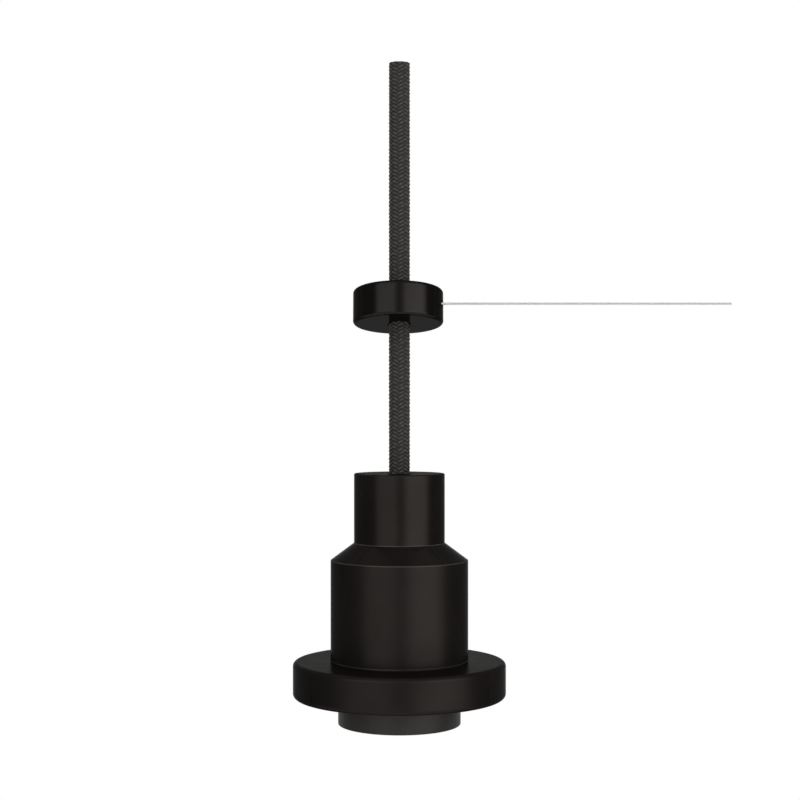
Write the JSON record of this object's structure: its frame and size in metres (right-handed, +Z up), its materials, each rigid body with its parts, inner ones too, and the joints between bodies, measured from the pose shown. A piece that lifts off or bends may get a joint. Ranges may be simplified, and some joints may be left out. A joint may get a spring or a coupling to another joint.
{
  "type": "pendant light",
  "caption": "Turned black pendant lamp holder with a wide flange, on a braided textile cord, with a round cord grip that a thin steel wire pulls to one side.",
  "frame": {"origin": "centre of the cord's cut upper end, where the light is held", "axes": "+Z up along the cord; the steel wire leaves the cord grip towards +X; the front, as pictured, faces -Y"},
  "size_m": [0.1364, 0.0664, 0.2064],
  "materials": {
    "black_anodised": "satin",
    "black_thermoset": "matte",
    "textile_braid": "matte",
    "stranded_steel": "bright",
    "plated_shell": "satin",
    "brass": "satin",
    "white_ceramic": "satin",
    "zinc_steel": "satin",
    "spring_steel": "satin",
    "black_screw": "satin",
    "white_nylon": "matte",
    "brown_insulation": "satin",
    "blue_insulation": "satin",
    "green_yellow_insulation": "satin"
  },
  "bodies": {
    "lamp": {"textile_cord": "textile_braid", "upper_housing": "black_anodised", "shade_flange": "black_anodised", "socket_skirt": "black_thermoset", "screw_shell": "plated_shell", "socket_base": "white_ceramic", "contact_spring": "spring_steel", "live_strap": "brass", "neutral_contact": "brass", "live_terminal": "brass", "neutral_terminal": "brass", "terminal_screws": "zinc_steel", "base_screws": "zinc_steel", "cord_bush": "white_nylon", "clamp_screw": "white_nylon", "bush_screws": "zinc_steel", "earth_tag": "zinc_steel", "live_lead": "brown_insulation", "neutral_lead": "blue_insulation", "earth_lead": "green_yellow_insulation"},
    "wire": {"wire_ferrule": "brass", "steel_wire": "stranded_steel"},
    "grip": {"grip_disc": "black_anodised", "grip_screw": "black_screw"},
    "contact": {"centre_contact": "brass"}
  },
  "joints": [
    {"name": "grip_slide", "type": "slide", "parent": "lamp", "child": "wire", "axis": [0, 0, 1], "range_m": [-0.04, 0.05]},
    {"name": "grip_tilt", "type": "hinge", "parent": "wire", "child": "grip", "pos_m": [0, -0.0035, -0.0754], "axis": [1, 0, 0], "range_deg": [0, 21]},
    {"name": "contact_press", "type": "slide", "parent": "lamp", "child": "contact", "axis": [0, 0, 1], "range_m": [0, 0.002], "stiffness_N_per_m": 1500, "springref_m": -0.0015, "deforming": ["contact_spring"]}
  ]
}
